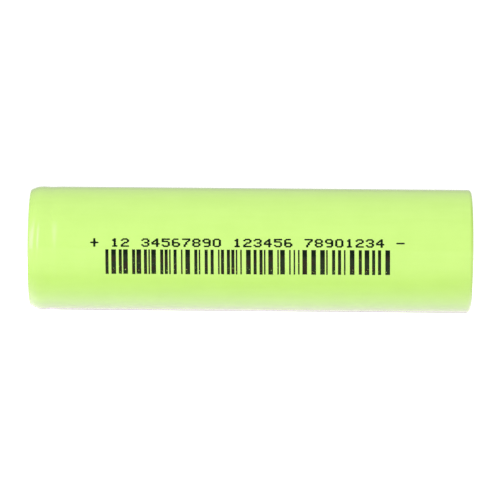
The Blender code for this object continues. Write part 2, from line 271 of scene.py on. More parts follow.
# %% [markdown]
# ## Nickel plate, and the bare metals
#
# The can and the cap are steel strip, plated with nickel and drawn. Plate is bright but never a
# mirror: handling leaves hairlines in all directions, and the draw leaves fine rings about the axis.
# The shader's anisotropy could draw the gleam of such rings, but a bump of fine rings gives the gleam
# and the rings. One function serves all the metals here, told how strong rings and hairlines are.


# %% Metals
def sheet_metal(name, light, dark, roughness, rings=0.3, hairlines=0.5):
    """Plated or bare sheet, with rings about the cell's axis and hairlines across it."""
    made, net, place = finish(name, Metallic=1.0)
    x, y, z = net.split(place)
    height = z - AXIS_HEIGHT
    radius = net.maths("SQRT", y * y + height * height)
    turning = net.noise(net.vector(radius * 9000, x * 9000, 0.0), 1.0, 3)
    draw = net.smooth(net.noise(net.vector(radius * 2200, x * 2200, 5.0), 1.0, 2), 0.35, 0.7)
    first = net.noise(stretched(net, place, 900, 900, 14000), 1.0, 2)
    second = net.noise(stretched(net, place, 2000, 15000, 1200), 1.0, 2)
    scratch = net.smooth(net.maths("MAXIMUM", first, second), 0.62, 0.78)
    stain = net.noise(place, 700, 4, 0.6)
    shade = stain * 0.5 + draw * (0.5 * rings) + 0.2
    stops = ((0.35, dark), (0.75, light))
    feed(net, "Base Color", net.node("ShaderNodeValToRGB", {"stops": stops}, {"Fac": shade}))
    dull = 0.10 * (stain - 0.5) + 0.10 * (draw - 0.5) * rings
    feed(net, "Roughness", roughness + dull + 0.14 * scratch * hairlines)
    bump(net, (turning + draw) * rings + scratch * hairlines * 0.5, 0.35, 0.005 * MM)
    return made


nickel_plate = sheet_metal("nickel_plate", rgb(0.72, 0.71, 0.68), rgb(0.57, 0.56, 0.53), 0.24, 0.6)
cap_nickel = sheet_metal("cap_nickel", rgb(0.78, 0.77, 0.74), rgb(0.68, 0.66, 0.62), 0.18, 0.15, 0.7)
pin_steel = sheet_metal("pin_steel", rgb(0.56, 0.56, 0.57), rgb(0.46, 0.46, 0.47), 0.32, 0.1, 0.8)
tab_nickel = sheet_metal("tab_nickel", rgb(0.68, 0.66, 0.62), rgb(0.58, 0.56, 0.52), 0.27, 0.0, 0.9)
aluminium = sheet_metal("pressed_aluminium", rgb(0.86, 0.87, 0.88), rgb(0.76, 0.77, 0.79), 0.30, 0.4)
print("made five metals")

# %% [markdown]
# ## Board, plastics, films and coatings
#
# What is not metal in a cell is dull. The ring under the lip is fish paper, a hard white board with
# fibres in it. The seal is milky polypropylene. The electrode strips are powders pressed on foil, so
# they are speckled and matt, and the separator is a white film with a silky look. Flat colours
# would do for what the can hides, but not for a cell that is shown cut open.


# %% Dull finishes
def speckled(name, light, dark, roughness, grain, depth, sheen=0.0):
    """A matt or milky material with fine specks that also roughen the surface."""
    made, net, place = finish(name, Sheen_Weight=sheen)
    speck = net.noise(place, grain, 4, 0.65)
    broad = net.noise(place, grain / 14, 2)
    feed(net, "Base Color", net.mix(net.smooth(speck * 0.6 + broad * 0.4, 0.32, 0.68), dark, light))
    feed(net, "Roughness", roughness + 0.15 * (speck - 0.5))
    bump(net, speck, 0.3, depth)
    return made


def fibre_board():
    """White board whose short fibres lie in all directions of its flat face."""
    made, net, place = finish("fibre_board", Roughness=0.8)
    first = net.noise(stretched(net, place, 3000, 1500, 11000), 1.0, 3)
    second = net.noise(stretched(net, place, 3000, 11000, 1500), 1.0, 3)
    fibre = net.smooth(net.maths("MAXIMUM", first, second), 0.5, 0.75)
    feed(net, "Base Color", net.mix(fibre, rgb(0.80, 0.80, 0.77), rgb(0.90, 0.90, 0.88)))
    bump(net, fibre, 0.5, 0.01 * MM)
    return made


def adhesive_tape(name, light, dark):
    """Glossy tape with faint ripples along it and trapped air."""
    made, net, place = finish(name, Coat_Weight=0.5, Coat_Roughness=0.08)
    ripple = net.noise(stretched(net, place, 150, 1400, 1400), 1.0, 2)
    air = net.smooth(net.noise(place, 1300, 2), 0.6, 0.7)
    feed(net, "Base Color", net.mix(ripple * 0.7 + air * 0.3, dark, light))
    feed(net, "Roughness", 0.22 + 0.2 * air)
    bump(net, ripple + air * 0.5, 0.3, 0.01 * MM)
    return made


print("three kinds of dull finish ready")

# %% Make the dull finishes and the tapes
board = fibre_board()
milky = speckled(
    "milky_polypropylene", rgb(0.80, 0.82, 0.80), rgb(0.72, 0.74, 0.72), 0.42, 2500, 0.004 * MM
)
white_plastic = speckled(
    "white_plastic", rgb(0.84, 0.84, 0.82), rgb(0.76, 0.76, 0.74), 0.45, 2500, 0.004 * MM
)
polymer = speckled(
    "carbon_polymer", rgb(0.09, 0.09, 0.095), rgb(0.05, 0.05, 0.055), 0.6, 6000, 0.008 * MM
)
film = speckled(
    "insulating_film", rgb(0.68, 0.76, 0.80), rgb(0.58, 0.66, 0.71), 0.4, 1800, 0.003 * MM
)
oxide = speckled(
    "cathode_coating", rgb(0.055, 0.055, 0.06), rgb(0.03, 0.03, 0.035), 0.75, 9000, 0.006 * MM
)
graphite = speckled(
    "anode_coating", rgb(0.12, 0.12, 0.125), rgb(0.07, 0.07, 0.075), 0.6, 7000, 0.006 * MM
)
separator = speckled(
    "separator_film", rgb(0.90, 0.90, 0.89), rgb(0.82, 0.82, 0.81), 0.5, 1500, 0.002 * MM, 0.2
)
green_tape = adhesive_tape("green_tape", rgb(0.12, 0.46, 0.33), rgb(0.07, 0.36, 0.25))
amber_tape = adhesive_tape("amber_tape", rgb(0.78, 0.38, 0.06), rgb(0.62, 0.26, 0.03))
print("made the dull finishes and the tapes")

# %% [markdown]
# ## Turning a profile
#
# Nearly every piece is a body of revolution. A Screw modifier would do, but Geometry Nodes let the
# same tree go on to wrinkle the film or dent the can, so the turning is a few nodes that several
# trees share: a circle is the path, and the profile is swept along it. Doubles on the axis are
# merged, and the piece is laid down on its side at the end.

# %% The nodes that turn a profile
PATH_RADIUS = 20 * MM  # wider than any piece, so that the swept profile never folds


def new_tree(name, **inputs):
    """A Geometry Nodes tree with the named inputs. Returns the net and the inputs' sockets."""
    tree = bpy.data.node_groups.new(name, "GeometryNodeTree")
    net = Net(tree)
    tree.interface.new_socket("Geometry", in_out="OUTPUT", socket_type="NodeSocketGeometry")
    tree.interface.new_socket("Geometry", in_out="INPUT", socket_type="NodeSocketGeometry")
    for label, kind in inputs.items():
        label = label.replace("_", " ").capitalize()
        tree.interface.new_socket(label, in_out="INPUT", socket_type="NodeSocket" + kind)
    given = net.node("NodeGroupInput")
    return net, [Socket(net, output) for output in given.output.node.outputs[:-1]]


def close_tree(net, geometry, material):
    """Ends a tree as all of them end: real geometry, with its material on it."""
    real = net.node("GeometryNodeRealizeInstances", sockets={"Geometry": geometry})
    dressed = net.node("GeometryNodeSetMaterial", sockets={"Geometry": real, "Material": material})
    net.node("NodeGroupOutput", sockets={0: dressed})
    return net.tree


def turned_nodes(net, profile, sides):
    """Sweeps a profile, drawn as radius and height, round the upright axis."""
    line = net.node("GeometryNodeMeshToCurve", sockets={"Mesh": profile})
    circle = net.node(
        "GeometryNodeCurvePrimitiveCircle", sockets={"Resolution": sides, "Radius": PATH_RADIUS}
    )
    level = net.node("GeometryNodeSetCurveNormal", sockets={"Curve": circle})
    level.output.node.mode = "Z_UP"
    swept = net.node("GeometryNodeCurveToMesh", sockets={"Curve": level, "Profile Curve": line})
    return net.node("GeometryNodeMergeByDistance", sockets={"Geometry": swept, "Distance": 0.0005 * MM})


def laid_down(net, geometry):
    """Lays an upright piece on its side, at the cell's place."""
    place = {"Translation": (FOOT, 0, AXIS_HEIGHT), "Rotation": (0, math.radians(-90), 0)}
    return net.node("GeometryNodeTransform", sockets={"Geometry": geometry, **place})


net, (profile, sides, dressing) = new_tree("turning", sides="Int", dressing="Material")
turning = close_tree(net, laid_down(net, turned_nodes(net, profile, sides)), dressing)
print("turning tree:", len(turning.nodes), "nodes")

# %% [markdown]
# ## From a tree to a finished mesh
#
# A modifier runs a tree. What comes out is kept as a plain mesh and the modifier goes, so that
# nothing has to run the tree again. A modifier knows its inputs by identifiers and not by the names
# that a reader sees, so those are looked up first. A swept profile can come out with its faces
# either way round, so they are pointed outwards.


# %% Run a tree and keep what it makes
def run_tree(name, tree, source, **values):
    """Runs a tree on a mesh with the values of its named inputs. Returns the finished object."""
    piece = bpy.data.objects.new(name, source)
    bpy.context.scene.collection.objects.link(piece)
    modifier = piece.modifiers.new("nodes", "NODES")
    modifier.node_group = tree
    for item in tree.interface.items_tree:
        label = item.name.lower().replace(" ", "_")
        if item.in_out == "INPUT" and label in values:
            modifier[item.identifier] = values[label]
    graph = bpy.context.evaluated_depsgraph_get()
    made = bpy.data.meshes.new_from_object(piece.evaluated_get(graph))
    piece.modifiers.clear()
    piece.data = made
    return piece


def outward(piece, sharp=32):
    """Points the faces outwards and shades the piece smooth, except at edges over that angle."""
    shape = bmesh.new()
    shape.from_mesh(piece.data)
    bmesh.ops.recalc_face_normals(shape, faces=shape.faces)
    shape.to_mesh(piece.data)
    shape.free()
    piece.data.shade_smooth()
    piece.data.set_sharp_from_angle(angle=math.radians(sharp))
    return piece


print("trees run and kept as plain meshes")

# %% [markdown]
# ## Drawing a profile
#
# A turned piece is drawn as half of its section, in points of radius and height. Pressed sheet has
# bends and no sharp corners, so a corner gives way to a small curve. The inner face of a sheet
# is its outer line moved by the thickness. Bevels on the finished mesh would round the corners as
# well, but not to a chosen shape, and this way costs only a few points.


# %% From points to a turned piece
def outline(name, profile):
    """A profile of (radius, height) points as a mesh of edges. It closes unless it meets the axis."""
    points = [(radius - PATH_RADIUS, -height, 0) for radius, height in profile]
    edges = [(first, first + 1) for first in range(len(points) - 1)]
    if profile[0][0] > 0:
        edges.append((len(points) - 1, 0))
    mesh = bpy.data.meshes.new(name)
    mesh.from_pydata(points, edges, [])
    return mesh


def turned(name, profile, material, sides=160):
    return outward(run_tree(name, turning, outline(name, profile), sides=sides, dressing=material))


print("profiles are turned about the cell's axis")


# %% Bends, corners and sheet
def arc(centre, radius, start, end, steps=10):
    """Points on a circle of the profile, from one angle to another in degrees, 0 pointing outwards."""
    points = []
    for step in range(steps + 1):
        angle = math.radians(start + (end - start) * step / steps)
        points.append((centre[0] + radius * math.cos(angle), centre[1] + radius * math.sin(angle)))
    return points


def eased(corner, before, after, ease, steps):
    """Points of a small curve that takes the place of a corner."""
    here, before, after = Vector(corner), Vector(before), Vector(after)
    start = here + (before - here).normalized() * min(ease, (before - here).length * 0.45)
    end = here + (after - here).normalized() * min(ease, (after - here).length * 0.45)
    shares = [step / steps for step in range(steps + 1)]
    return [tuple(start * (1 - s) ** 2 + here * 2 * s * (1 - s) + end * s**2) for s in shares]


def rounded(corners, ease, steps=4):
    """A closed profile with each of its corners eased, except those on the axis."""
    points = []
    for number, corner in enumerate(corners):
        if corner[0] == 0:
            points.append(corner)
        else:
            after = corners[(number + 1) % len(corners)]
            points += eased(corner, corners[number - 1], after, ease, steps)
    return points


def inset(line, depth):
    """The same line, moved to its right-hand side by a depth, as the inner face of a sheet is."""
    moved = []
    for number, (x, y) in enumerate(line):
        before = Vector(line[max(number - 1, 0)])
        after = Vector(line[min(number + 1, len(line) - 1)])
        run = (after - before).normalized()
        moved.append((x + run.y * depth, y - run.x * depth))
    return moved


def spaced(first, last, steps):
    """Even points from the first to just before the last."""
    first, last = Vector(first), Vector(last)
    return [tuple(first.lerp(last, step / steps)) for step in range(steps)]


print("a corner of 90 degrees eased:", len(eased((1, 1), (0, 1), (1, 0), 0.2, 4)), "points")

# %% [markdown]
# ## In the place of a imported node
#
# The imported model stays what other tools measure, and the finer piece is shown instead. So each
# piece names the body that it rides on and the node that it stands for.


# %% Stand a piece in for a node
def place_piece(piece, node, body="cell"):
    """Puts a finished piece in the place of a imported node."""
    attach(piece, body)
    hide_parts(node)
    print(f"{piece.name}: {len(piece.data.polygons)} faces for {node}")


print("pieces stand in for packed nodes")

# %% [markdown]
# ## The sleeve
#
# Shrink tube takes the shape of what it covers. It runs straight down the can, dips a little where
# the bead is rolled into the steel, goes round the shoulder and ends as a lip on the end face. The
# tube loses a fifth of its girth at the lip, so the lip puckers and its edge is never a true circle.
# A cloth simulation could shrink a tube over the can, but the film is so nearly a turned piece
# that a drawn profile is exact and light. It has the straight, the dip and the two corners. The
# tree adds the puckers with a noise that runs round the axis and fades away from the lip.

# %% The sleeve's sizes
FILM = 0.08 * MM
DIP_DEPTH = 0.052 * MM
DIP_REACH = 1.30 * MM
DIP_HEIGHT = SLEEVE_TOP - 3.28 * MM
SHOULDER_DROP = 1.15 * MM
SHOULDER_DRAW = 0.49 * MM
CREST_EASE = 0.28 * MM
BROW_EASE = 0.75 * MM
FOOT_CORNER = 0.60 * MM
TOP_LIP = 7.3 * MM
FOOT_LIP = 8.15 * MM
print(f"the dip's middle is {(SLEEVE_TOP - DIP_HEIGHT) / MM:.2f} mm below the shoulder's top")


# %% The sleeve's profile
def dipped_wall(steps=36):
    """The straight wall from the shoulder down, with the dip over the bead."""
    wall = []
    for step in range(steps + 1):
        across = 1 - 2 * step / steps
        depth = DIP_DEPTH * (0.5 + 0.5 * math.cos(math.pi * across))
        wall.append((SLEEVE_RADIUS - depth, DIP_HEIGHT + DIP_REACH * across))
    below_dip = (SLEEVE_RADIUS, DIP_HEIGHT * 0.97)
    return wall + spaced(below_dip, (SLEEVE_RADIUS, FOOT_CORNER), 6)


crest = (SLEEVE_RADIUS - SHOULDER_DRAW, SLEEVE_TOP)
brow = (SLEEVE_RADIUS, SLEEVE_TOP - SHOULDER_DROP)
foot_centre = (SLEEVE_RADIUS - FOOT_CORNER, FOOT_CORNER)
outside = spaced((TOP_LIP, SLEEVE_TOP), (crest[0] - 0.35 * MM, SLEEVE_TOP), 8)
outside += eased(crest, (TOP_LIP, SLEEVE_TOP), brow, CREST_EASE, 8)
outside += eased(brow, crest, (SLEEVE_RADIUS, DIP_HEIGHT), BROW_EASE, 14)
outside += dipped_wall()
outside += arc(foot_centre, FOOT_CORNER, 0, -90, 12)
outside.append((FOOT_LIP, 0))
inside = inset(outside, FILM)
print(len(outside) + len(inside), "points round the film's section")

# %% The sleeve's tree, and the sleeve
net, (profile, sides, pucker, waver, dressing) = new_tree(
    "shrinking", sides="Int", pucker="Float", waver="Float", dressing="Material"
)
tube = turned_nodes(net, profile, sides)
place = net.node("GeometryNodeInputPosition")
x, y, z = net.split(place)
girth = net.maths("SQRT", x * x + y * y)
around = net.vector(x / girth, y / girth, 0.0)
pleats = net.noise(around, 9.0, 3, 0.6)
drift = net.noise(around, 1.6, 2)
near_top = net.smooth(z, SLEEVE_TOP / 2, SLEEVE_TOP / 2 + MM)
at_lip = near_top * net.smooth(girth, crest[0], TOP_LIP)
at_foot_lip = (1 - near_top) * net.smooth(girth, foot_centre[0], FOOT_LIP)
lift = pucker * (at_lip * pleats + at_foot_lip * (0.6 * pleats))
wander = waver * (at_lip + 0.4 * at_foot_lip) * (drift - 0.5 + 0.25 * (pleats - 0.5))
move = net.vector(x / girth * wander, y / girth * wander, lift)
shrunk = net.node("GeometryNodeSetPosition", sockets={"Geometry": tube, "Offset": move})
shrinking = close_tree(net, laid_down(net, shrunk), dressing)

section = outline("sleeve_section", outside + inside[::-1])
sleeve = run_tree(
    "sleeve", shrinking, section, sides=224, pucker=0.04 * MM, waver=0.7 * MM, dressing=lime
)
outward(sleeve)
place_piece(sleeve, "shrink_sleeve")

# %% [markdown]
# ## The printed line
#
# An ink-jet head prints the finished sleeve as the cell rolls past: a row of figures made of dots, a
# plus and a minus mark for the two ends, and a bar code. The figures here are running digits and
# the bars are drawn by lot, so they say nothing. A mask in the film's shader could print them, but
# ink stands on the film, about a hundredth of a millimetre thick. So the print is real geometry:
# laid out flat like a printing plate, and then wrapped on the sleeve's radius.

# %% Figures as dots
FIGURES = {
    "0": (".###.", "#...#", "#...#", "#...#", "#...#", "#...#", ".###."),
    "1": ("..#..", ".##..", "..#..", "..#..", "..#..", "..#..", ".###."),
    "2": (".###.", "#...#", "....#", "..##.", ".#...", "#....", "#####"),
    "3": (".###.", "#...#", "....#", "..##.", "....#", "#...#", ".###."),
    "4": ("...#.", "..##.", ".#.#.", "#..#.", "#####", "...#.", "...#."),
    "5": ("#####", "#....", "####.", "....#", "....#", "#...#", ".###."),
    "6": (".###.", "#....", "#....", "####.", "#...#", "#...#", ".###."),
    "7": ("#####", "....#", "...#.", "..#..", "..#..", ".#...", ".#..."),
    "8": (".###.", "#...#", "#...#", ".###.", "#...#", "#...#", ".###."),
    "9": (".###.", "#...#", "#...#", ".####", "....#", "....#", ".###."),
    "+": ("..#..", "..#..", "..#..", "#####", "..#..", "..#..", "..#.."),
    "-": (".....", ".....", ".....", "#####", ".....", ".....", "....."),
    " ": (),
}
PRINTED = "+ 12 34567890 123456 78901234 -"
FIGURE_PITCH = 1.486 * MM
COLUMN_PITCH = 0.222 * MM
ROW_PITCH = 0.172 * MM
LINE_MIDDLE = -0.33 * MM
CODE_MIDDLE = -0.30 * MM
LINE_BASE = 0.435 * MM  # from the level of the axis up to the lowest row of dots


def dot_places():
    """The place of each dot on the flat plate."""
    left = LINE_MIDDLE - ((len(PRINTED) - 1) * FIGURE_PITCH + 4 * COLUMN_PITCH) / 2
    places = []
    for number, figure in enumerate(PRINTED):
        for row, line in enumerate(FIGURES[figure]):
            for column, mark in enumerate(line):
                if mark == "#":
                    along = left + number * FIGURE_PITCH + column * COLUMN_PITCH
                    places.append((along, LINE_BASE + (6 - row) * ROW_PITCH, 0))
    return places


dots = bpy.data.meshes.new("dot_places")
dots.from_pydata(dot_places(), [], [])
print(len(dots.vertices), "dots of ink")

# %% [markdown]
# ## Ink
#
# Solvent ink dries thin on film. The jets leave bands across the bars, the lower half of the bars
# gets less ink and shows brown and green, and near the low ends a few pinholes let the film
# through. Specks could be cut in the mesh, but they are finer than the bars' faces, so the ink is
# transparent there.


# %% Print ink
def print_ink():
    """Black solvent ink that thins out in bands, where it shows brown and green."""
    made, net, place = finish("print_ink", Specular_IOR_Level=0.12)
    x, y, z = net.split(place)
    band = net.noise(net.vector(x * 700, z * 5200, 0.0), 1.0, 3, 0.6)
    thin = net.smooth(z, AXIS_HEIGHT - 0.2 * MM, AXIS_HEIGHT - 1.6 * MM)
    worn = net.smooth(band * 0.7 + thin * 0.5, 0.45, 0.95)
    shade = net.mix(worn, rgb(0.001, 0.009, 0.001), rgb(0.020, 0.031, 0.013))
    warm = net.smooth(net.noise(net.vector(x * 420, z * 900, 3.0), 1.0, 1), 0.50, 0.62)
    feed(net, "Base Color", net.mix(warm * thin * 0.7, shade, rgb(0.030, 0.015, 0.009)))
    low_end = net.smooth(z, AXIS_HEIGHT - 1.2 * MM, AXIS_HEIGHT - 3.4 * MM)
    pinhole = net.smooth(net.noise(place, 6500, 2) + 0.07 * low_end, 0.72, 0.78)
    feed(net, "Alpha", 1 - pinhole)
    feed(net, "Roughness", 0.5 + 0.2 * band)
    bump(net, band, 0.4, 0.006 * MM)
    return made


ink = print_ink()
print("made", ink.name)

# %% [markdown]
# ## Wrapping the print
#
# The tree for the print takes the dots' places as its geometry. It adds the bars: each has a width
# of one to three modules and a gap of one to three after it, and Accumulate Field turns the widths
# into places. All lots have a fixed seed, so the bars are the same on each run. A Curve modifier
# could bend the flat plate, but a Set Position node with a sine and a cosine lays it exactly on the
# film's radius.

# %% Sizes of the bars and the dots
BAR_COUNT = 48
BAR_TOP = -0.04 * MM
BAR_HEIGHT = 3.72 * MM
BAR_SPREAD = 1.06  # ink runs a little wider than its module
CODE_WIDTH = 41.42 * MM
DOT_WIDTH = 0.190 * MM
DOT_HEIGHT = 0.128 * MM
INK_DEPTH = 0.012 * MM
LEAN = -0.012  # how far the bars lean along the cell for each metre up
SKEW = 0.0046  # how far the line climbs for each metre along the cell
print(f"{BAR_COUNT} bars in {CODE_WIDTH / MM:.1f} mm")

# %% The print's tree, and its bars
net, (places, code_width, bar_count, seed, dressing) = new_tree(
    "printing", code_width="Float", bar_count="Int", seed="Int", dressing="Material"
)


def lot(net, low, high, seed):
    """A random number for each point."""
    limits = {2: low, 3: high, "Seed": seed}
    return net.node("FunctionNodeRandomValue", {"data_type": "FLOAT"}, limits, 1)


width = net.maths("ROUND", lot(net, 0.55, 3.45, seed))
not_last = net.maths("LESS_THAN", net.node("GeometryNodeInputIndex"), bar_count - 1)
gap = net.maths("ROUND", lot(net, 0.65, 3.2, seed + 1)) * not_last
running = net.node("GeometryNodeAccumulateField", sockets={0: width + gap})
module = code_width / running.part("Total")
start = running.part("Trailing") * module + CODE_MIDDLE - code_width / 2
row = net.node("GeometryNodeMeshLine", sockets={"Count": bar_count})
bar_places = net.node(
    "GeometryNodeSetPosition",
    sockets={"Geometry": row, "Position": net.vector(start + width * module / 2, BAR_TOP, 0.0)},
)
bar = net.node(
    "GeometryNodeMeshCube",
    sockets={"Size": (1, 1, INK_DEPTH), "Vertices X": 2, "Vertices Y": 14, "Vertices Z": 2},
)
hung = net.node("GeometryNodeTransform", sockets={"Geometry": bar, "Translation": (0, -0.5, 0)})
bar_size = net.vector(width * module * BAR_SPREAD, lot(net, 0.985, 1.0, seed + 2) * BAR_HEIGHT, 1.0)
bars = net.node(
    "GeometryNodeInstanceOnPoints",
    sockets={"Points": bar_places, "Instance": hung, "Scale": bar_size},
)
print("bars:", len(net.tree.nodes), "nodes")

# %% The dots, on the same plate
dot = net.node(
    "GeometryNodeMeshCone",
    sockets={"Vertices": 12, "Radius Top": 0.82, "Radius Bottom": 1.0, "Depth": INK_DEPTH},
)
blot = lot(net, 0.93, 1.06, seed + 3)
dot_size = net.vector(blot * DOT_WIDTH, blot * DOT_HEIGHT, 1.0)
line = net.node(
    "GeometryNodeInstanceOnPoints",
    sockets={"Points": places, "Instance": dot, "Scale": dot_size},
)
plate = net.node("GeometryNodeJoinGeometry", sockets={"Geometry": bars})
net.tree.links.new(line.output, plate.output.node.inputs["Geometry"])
plate = net.node("GeometryNodeRealizeInstances", sockets={"Geometry": plate})
print("bars and dots:", len(net.tree.nodes), "nodes")

# %% The plate, wrapped on the film
along, up, out = net.split(net.node("GeometryNodeInputPosition"))
angle = (up + along * SKEW) / SLEEVE_RADIUS
from_axis = out + SLEEVE_RADIUS
wrapped = net.vector(
    along + up * LEAN,
    0 - from_axis * net.maths("COSINE", angle),
    from_axis * net.maths("SINE", angle) + AXIS_HEIGHT,
)
wrap = net.node("GeometryNodeSetPosition", sockets={"Geometry": plate, "Position": wrapped})
printing = close_tree(net, wrap, dressing)
print("printing tree:", len(printing.nodes), "nodes")

# %% Print the line
printed = run_tree(
    "printed_line", printing, dots, code_width=CODE_WIDTH, bar_count=BAR_COUNT, seed=5, dressing=ink
)
outward(printed)
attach(printed, "cell")
print("printed line:", len(printed.data.polygons), "faces")

# %% [markdown]
# ## The ends
#
# At the positive end a white ring lies under the sleeve's lip, and the pressed cap stands in the
# middle of it. The cap is a hat of sheet, flat on top. At the negative end the can's own bottom is
# the contact, bare inside the lip. A cylinder with bevelled edges would do for the ring, but all of
# them are turned from profiles, so that they share the sleeve's axis exactly.

# %% The white ring
low, high, outer = reach("top_insulator_ring")
RING_HOLE = 5.9 * MM
ring = turned(
    "white_ring",
    rounded([(RING_HOLE, high), (outer, high), (outer, low), (RING_HOLE, low)], 0.05 * MM),
    board,
)
place_piece(ring, "top_insulator_ring")

# %% The cap, before its windows
low, high, outer = reach("positive_cap")
CAP_WALL = 0.35 * MM
CAP_TOP_RADIUS = 4.45 * MM
CAP_FLANK_FOOT = 5.15 * MM
CAP_BEND = 0.22 * MM
cap_rim = low + CAP_WALL
cap_section = [(0, high), (CAP_TOP_RADIUS, high), (CAP_FLANK_FOOT, cap_rim), (outer, cap_rim)]
cap_section += [(outer, low), (CAP_FLANK_FOOT - 0.2 * MM, low)]
cap_section += [(CAP_TOP_RADIUS - 0.2 * MM, high - CAP_WALL), (0, high - CAP_WALL)]
cap = turned("cap", rounded(cap_section, CAP_BEND, 7), cap_nickel)
print("cap of", len(cap.data.polygons), "faces")

# %% [markdown]
# ## The cap's windows
#
# Gas that has burst the vent leaves through windows punched in the cap's flank. They could be left
# out of the turned faces, but their sides have to cut the flank's slope at right angles, so four
# boxes are set round the axis and a Boolean takes them away.


# %% Punch the windows
def cut_windows(piece, count, size, radius, height):
    """Cuts box-shaped windows through a flank, evenly round the axis."""
    shape = bmesh.new()
    for number in range(count):
        angle = math.tau * (number + 0.5) / count
        made = bmesh.ops.create_cube(shape, size=1.0)
        bmesh.ops.scale(shape, vec=size, verts=made["verts"])
        turn = Matrix.Rotation(angle, 4, "Z") @ Matrix.Translation((radius, 0, height))
        lay = Matrix.Translation((FOOT, 0, AXIS_HEIGHT)) @ Matrix.Rotation(math.radians(-90), 4, "Y")
        bmesh.ops.transform(shape, matrix=lay @ turn, verts=made["verts"])
    mesh = bpy.data.meshes.new("window_tools")
    shape.to_mesh(mesh)
    shape.free()
    tools = bpy.data.objects.new("window_tools", mesh)
    bpy.context.scene.collection.objects.link(tools)
    boolean = piece.modifiers.new("windows", "BOOLEAN")
    boolean.object = tools
    graph = bpy.context.evaluated_depsgraph_get()
    cut = bpy.data.meshes.new_from_object(piece.evaluated_get(graph))
    piece.modifiers.clear()
    piece.data = cut
    bpy.data.objects.remove(tools)


WINDOW_SIZE = (1.6 * MM, 2.4 * MM, 0.5 * MM)
WINDOW_RADIUS = 4.9 * MM
WINDOW_HEIGHT = cap_rim + 0.45 * MM
cut_windows(cap, 4, WINDOW_SIZE, WINDOW_RADIUS, WINDOW_HEIGHT)
outward(cap)
place_piece(cap, "positive_cap")

# %% [markdown]
# ## The can
#
# The can is a cup, drawn from one sheet. Near its mouth a roller presses a bead in, which the
# lid's seal rests on, and the mouth is crimped over the seal. The bottom has a shallow dish, and in
# it are two small pits, where the inner tab was welded on. The cup is turned like the other pieces,
# but pits aren't round about the axis, so a Set Position node pushes the outer face in there.

# %% The can's section
low, high, outer = reach("can")
CAN_WALL = 0.25 * MM
CRIMP_CORNER = 1.1 * MM
BOTTOM_CORNER = 0.55 * MM
DISH_RADIUS = 6.2 * MM
DISH_DEPTH = 0.05 * MM
DISH_STEP = 0.25 * MM
DISH_EASE = 0.2 * MM
BEAD_DEPTH = 0.9 * MM
BEAD_SHELF = high - 2.21 * MM
BEAD_FLANK = high - 3.91 * MM
BEAD_BEND = 0.2 * MM
BEAD_EDGE = 0.1 * MM
SHELF_CORNER = 0.36 * MM
FLANK_RISE = 0.65 * MM
CRIMP_REACH = 7.0 * MM


def can_section(shift):
    """The can's line from the crimp to the middle of the bottom, on its outside or its inside."""
    crimp = (outer - CRIMP_CORNER, high - CRIMP_CORNER)
    corner = (outer - BOTTOM_CORNER, low + BOTTOM_CORNER)
    waist = outer - BEAD_DEPTH - shift
    wall = outer - shift
    shelf = BEAD_SHELF + shift
    flank = BEAD_FLANK - shift
    shelf_corner = 0 if shift else SHELF_CORNER
    line = [(CRIMP_REACH, high - shift), *arc(crimp, CRIMP_CORNER - shift, 90, 0, 10)]
    line += [(wall, shelf + shelf_corner), (wall - BEAD_EDGE, shelf)]
    line += [(waist + BEAD_BEND, shelf), (waist, shelf - BEAD_BEND), (waist, flank + FLANK_RISE)]
    line += [(wall - BEAD_EDGE, flank + 0.06 * MM), (wall, flank - 0.29 * MM)]
    line += arc(corner, BOTTOM_CORNER - shift, 0, -90, 10)
    rim, dish = low + shift, low + shift + DISH_DEPTH
    step_top, step_foot = (DISH_RADIUS + DISH_STEP, rim), (DISH_RADIUS, dish)
    line += eased(step_top, corner, step_foot, DISH_EASE, 4)
    line += eased(step_foot, step_top, (0, dish), DISH_EASE, 4)
    return line + spaced((DISH_RADIUS - 2 * DISH_EASE, dish), (0, dish), 28) + [(0, dish)]


can_outline = outline("can_section", can_section(0)[::-1] + can_section(CAN_WALL))
print(len(can_outline.vertices), "points round the can's section")

# %% The can's tree
net, (profile, sides, weld_place, weld_radius, weld_depth, dressing) = new_tree(
    "can_pressing",
    sides="Int",
    weld_place="Float",
    weld_radius="Float",
    weld_depth="Float",
    dressing="Material",
)
cup = turned_nodes(net, profile, sides)
x, y, z = net.split(net.node("GeometryNodeInputPosition"))
aside = net.maths("ABSOLUTE", x) - weld_place
from_weld = net.maths("SQRT", aside * aside + y * y)
on_bottom = net.smooth(z, low + 0.24 * MM, low + 0.2 * MM)  # the outer face and not the inner
mark = net.smooth(from_weld, weld_radius, weld_radius * 0.3) * on_bottom
push = net.vector(0.0, 0.0, weld_depth * mark)
dented = net.node("GeometryNodeSetPosition", sockets={"Geometry": cup, "Offset": push})
pressing = close_tree(net, laid_down(net, dented), dressing)
print("pressing tree:", len(pressing.nodes), "nodes")

# %% Press the can
can = run_tree(
    "steel_can",
    pressing,
    can_outline,
    sides=160,
    weld_place=1.5 * MM,
    weld_radius=0.75 * MM,
    weld_depth=0.06 * MM,
    dressing=nickel_plate,
)
outward(can)
place_piece(can, "can")

# %% [markdown]
# ## Inside the cell
#
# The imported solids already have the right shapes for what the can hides, and a finer copy would
# show nothing more. They only need their finishes.

